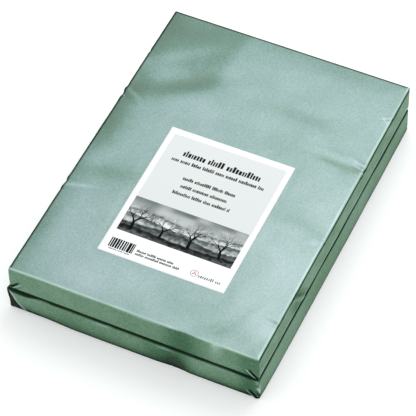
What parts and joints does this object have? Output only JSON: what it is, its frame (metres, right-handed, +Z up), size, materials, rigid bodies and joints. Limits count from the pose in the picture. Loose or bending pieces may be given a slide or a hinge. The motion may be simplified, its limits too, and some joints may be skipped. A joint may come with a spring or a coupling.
{
  "type": "stack of wrapped photo paper packs",
  "caption": "Two aligned packs of cut printing paper wrapped in green foil-coated paper, folded shut at both ends, with a printed label on top.",
  "frame": {"origin": "centre of the underside of the lower pack", "axes": "+Z up, +Y along the long side to the rear end, +X to the right; the front short end faces -Y"},
  "size_m": [0.214, 0.302, 0.052],
  "materials": {
    "foil_paper": "foil-coated, satin metallic green",
    "grey_board": "matte grey board",
    "cotton_paper": "matte natural white cotton",
    "label_paper": null
  },
  "bodies": {
    "lower_pack": {"lower_wrap": "foil_paper", "lower_bottom_board": "grey_board", "lower_sheets": "cotton_paper", "lower_top_board": "grey_board", "lower_label": "label_paper"},
    "lower_front_flap_body": {"lower_front_flap": "foil_paper"},
    "lower_front_inner_flap_body": {"lower_front_inner_flap": "foil_paper"},
    "lower_front_left_tuck_body": {"lower_front_left_tuck": "foil_paper"},
    "lower_front_right_tuck_body": {"lower_front_right_tuck": "foil_paper"},
    "lower_rear_flap_body": {"lower_rear_flap": "foil_paper"},
    "lower_rear_inner_flap_body": {"lower_rear_inner_flap": "foil_paper"},
    "lower_rear_left_tuck_body": {"lower_rear_left_tuck": "foil_paper"},
    "lower_rear_right_tuck_body": {"lower_rear_right_tuck": "foil_paper"},
    "upper_pack": {"upper_wrap": "foil_paper", "upper_bottom_board": "grey_board", "upper_sheets": "cotton_paper", "upper_top_board": "grey_board", "upper_label": "label_paper"},
    "upper_front_flap_body": {"upper_front_flap": "foil_paper"},
    "upper_front_inner_flap_body": {"upper_front_inner_flap": "foil_paper"},
    "upper_front_left_tuck_body": {"upper_front_left_tuck": "foil_paper"},
    "upper_front_right_tuck_body": {"upper_front_right_tuck": "foil_paper"},
    "upper_rear_flap_body": {"upper_rear_flap": "foil_paper"},
    "upper_rear_inner_flap_body": {"upper_rear_inner_flap": "foil_paper"},
    "upper_rear_left_tuck_body": {"upper_rear_left_tuck": "foil_paper"},
    "upper_rear_right_tuck_body": {"upper_rear_right_tuck": "foil_paper"}
  },
  "joints": [
    {"name": "upper_pack_lift", "type": "slide", "parent": "lower_pack", "child": "upper_pack", "axis": [0, 0, 1], "range_m": [0, 0.15]},
    {"name": "lower_front_flap_hinge", "type": "hinge", "parent": "lower_pack", "child": "lower_front_flap_body", "pos_m": [0, -0.1507, 0.0254], "axis": [-1, 0, 0], "range_deg": [0, 90]},
    {"name": "lower_front_inner_flap_hinge", "type": "hinge", "parent": "lower_pack", "child": "lower_front_inner_flap_body", "pos_m": [0, -0.1495, 0.0003], "axis": [1, 0, 0], "range_deg": [0, 65]},
    {"name": "lower_front_left_tuck_hinge", "type": "hinge", "parent": "lower_pack", "child": "lower_front_left_tuck_body", "pos_m": [-0.1067, -0.1501, 0.01285], "axis": [0, 0, -1], "range_deg": [0, 75]},
    {"name": "lower_front_right_tuck_hinge", "type": "hinge", "parent": "lower_pack", "child": "lower_front_right_tuck_body", "pos_m": [0.1067, -0.1501, 0.01285], "axis": [0, 0, 1], "range_deg": [0, 75]},
    {"name": "lower_rear_flap_hinge", "type": "hinge", "parent": "lower_pack", "child": "lower_rear_flap_body", "pos_m": [0, 0.1507, 0.0254], "axis": [1, 0, 0], "range_deg": [0, 90]},
    {"name": "lower_rear_inner_flap_hinge", "type": "hinge", "parent": "lower_pack", "child": "lower_rear_inner_flap_body", "pos_m": [0, 0.1495, 0.0003], "axis": [-1, 0, 0], "range_deg": [0, 65]},
    {"name": "lower_rear_left_tuck_hinge", "type": "hinge", "parent": "lower_pack", "child": "lower_rear_left_tuck_body", "pos_m": [-0.1067, 0.1501, 0.01285], "axis": [0, 0, 1], "range_deg": [0, 75]},
    {"name": "lower_rear_right_tuck_hinge", "type": "hinge", "parent": "lower_pack", "child": "lower_rear_right_tuck_body", "pos_m": [0.1067, 0.1501, 0.01285], "axis": [0, 0, -1], "range_deg": [0, 75]},
    {"name": "upper_front_flap_hinge", "type": "hinge", "parent": "upper_pack", "child": "upper_front_flap_body", "pos_m": [0, -0.1507, 0.0516], "axis": [-1, 0, 0], "range_deg": [0, 110]},
    {"name": "upper_front_inner_flap_hinge", "type": "hinge", "parent": "upper_pack", "child": "upper_front_inner_flap_body", "pos_m": [0, -0.1495, 0.0265], "axis": [1, 0, 0], "range_deg": [0, 80]},
    {"name": "upper_front_left_tuck_hinge", "type": "hinge", "parent": "upper_pack", "child": "upper_front_left_tuck_body", "pos_m": [-0.1067, -0.1501, 0.03905], "axis": [0, 0, -1], "range_deg": [0, 90]},
    {"name": "upper_front_right_tuck_hinge", "type": "hinge", "parent": "upper_pack", "child": "upper_front_right_tuck_body", "pos_m": [0.1067, -0.1501, 0.03905], "axis": [0, 0, 1], "range_deg": [0, 90]},
    {"name": "upper_rear_flap_hinge", "type": "hinge", "parent": "upper_pack", "child": "upper_rear_flap_body", "pos_m": [0, 0.1507, 0.0516], "axis": [1, 0, 0], "range_deg": [0, 110]},
    {"name": "upper_rear_inner_flap_hinge", "type": "hinge", "parent": "upper_pack", "child": "upper_rear_inner_flap_body", "pos_m": [0, 0.1495, 0.0265], "axis": [-1, 0, 0], "range_deg": [0, 80]},
    {"name": "upper_rear_left_tuck_hinge", "type": "hinge", "parent": "upper_pack", "child": "upper_rear_left_tuck_body", "pos_m": [-0.1067, 0.1501, 0.03905], "axis": [0, 0, 1], "range_deg": [0, 90]},
    {"name": "upper_rear_right_tuck_hinge", "type": "hinge", "parent": "upper_pack", "child": "upper_rear_right_tuck_body", "pos_m": [0.1067, 0.1501, 0.03905], "axis": [0, 0, -1], "range_deg": [0, 90]}
  ],
  "couplings": [
    {"joint": "lower_front_left_tuck_hinge", "follows": "lower_front_flap_hinge", "ratio": 0.8},
    {"joint": "lower_front_right_tuck_hinge", "follows": "lower_front_flap_hinge", "ratio": 0.8},
    {"joint": "lower_front_inner_flap_hinge", "follows": "lower_front_flap_hinge", "ratio": 0.7},
    {"joint": "lower_rear_left_tuck_hinge", "follows": "lower_rear_flap_hinge", "ratio": 0.8},
    {"joint": "lower_rear_right_tuck_hinge", "follows": "lower_rear_flap_hinge", "ratio": 0.8},
    {"joint": "lower_rear_inner_flap_hinge", "follows": "lower_rear_flap_hinge", "ratio": 0.7},
    {"joint": "upper_front_left_tuck_hinge", "follows": "upper_front_flap_hinge", "ratio": 0.8},
    {"joint": "upper_front_right_tuck_hinge", "follows": "upper_front_flap_hinge", "ratio": 0.8},
    {"joint": "upper_front_inner_flap_hinge", "follows": "upper_front_flap_hinge", "ratio": 0.7},
    {"joint": "upper_rear_left_tuck_hinge", "follows": "upper_rear_flap_hinge", "ratio": 0.8},
    {"joint": "upper_rear_right_tuck_hinge", "follows": "upper_rear_flap_hinge", "ratio": 0.8},
    {"joint": "upper_rear_inner_flap_hinge", "follows": "upper_rear_flap_hinge", "ratio": 0.7}
  ]
}
